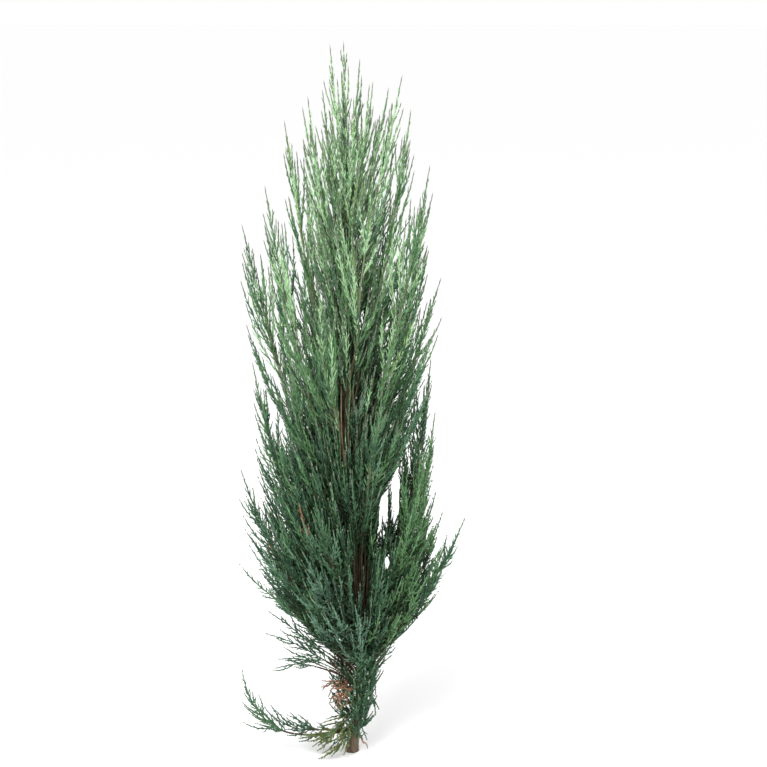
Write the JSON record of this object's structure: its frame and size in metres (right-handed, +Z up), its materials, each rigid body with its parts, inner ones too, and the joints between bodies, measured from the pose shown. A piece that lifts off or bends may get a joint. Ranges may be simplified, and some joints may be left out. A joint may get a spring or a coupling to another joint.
{
  "type": "rocky mountain juniper",
  "caption": "Young upright juniper with a slender column of steep blue-green scale-leaved sprays on a short bare trunk, cut flat at ground level.",
  "frame": {"origin": "centre of the flat cut under the trunk, at ground level", "axes": "+Z up along the trunk, +X to the right in the pictured view, +Y to the back, away from the viewer"},
  "size_m": [0.3188, 0.26, 1.0164],
  "materials": {
    "bark": "rough grey-brown peeling bark, redder on the boughs",
    "foliage": "matt blue-green scale leaves, lighter yellow-green towards the top"
  },
  "bodies": {
    "root": {"bough_back_1": "bark", "bough_back_3": "bark", "bough_back_5": "bark", "bough_back_7": "bark", "bough_back_9": "bark", "bough_front_2": "bark", "bough_front_4": "bark", "bough_front_6": "bark", "bough_front_8": "bark", "bough_front_feather": "bark", "bough_left_ground": "bark", "bough_left_high": "bark", "bough_left_long": "bark", "bough_left_low": "bark", "bough_left_main": "bark", "bough_left_spray": "bark", "bough_left_tuft": "bark", "bough_left_under": "bark", "bough_left_upper": "bark", "bough_right_high": "bark", "bough_right_long": "bark", "bough_right_main": "bark", "bough_right_mid": "bark", "bough_right_twigs": "bark", "bough_right_under": "bark", "bough_right_upper": "bark", "plume_back_1": "foliage", "plume_back_3": "foliage", "plume_back_5": "foliage", "plume_back_7": "foliage", "plume_back_9": "foliage", "plume_foot_tuft": "foliage", "plume_front_2": "foliage", "plume_front_4": "foliage", "plume_front_6": "foliage", "plume_front_8": "foliage", "plume_front_feather": "foliage", "plume_leader": "foliage", "plume_left_crest": "foliage", "plume_left_ground": "foliage", "plume_left_high": "foliage", "plume_left_long": "foliage", "plume_left_low": "foliage", "plume_left_main": "foliage", "plume_left_spray": "foliage", "plume_left_tuft": "foliage", "plume_left_under": "foliage", "plume_left_upper": "foliage", "plume_right_crest": "foliage", "plume_right_high": "foliage", "plume_right_long": "foliage", "plume_right_main": "foliage", "plume_right_mid": "foliage", "plume_right_tip": "foliage", "plume_right_twigs": "foliage", "plume_right_under": "foliage", "plume_right_upper": "foliage", "trunk": "bark"}
  },
  "joints": []
}
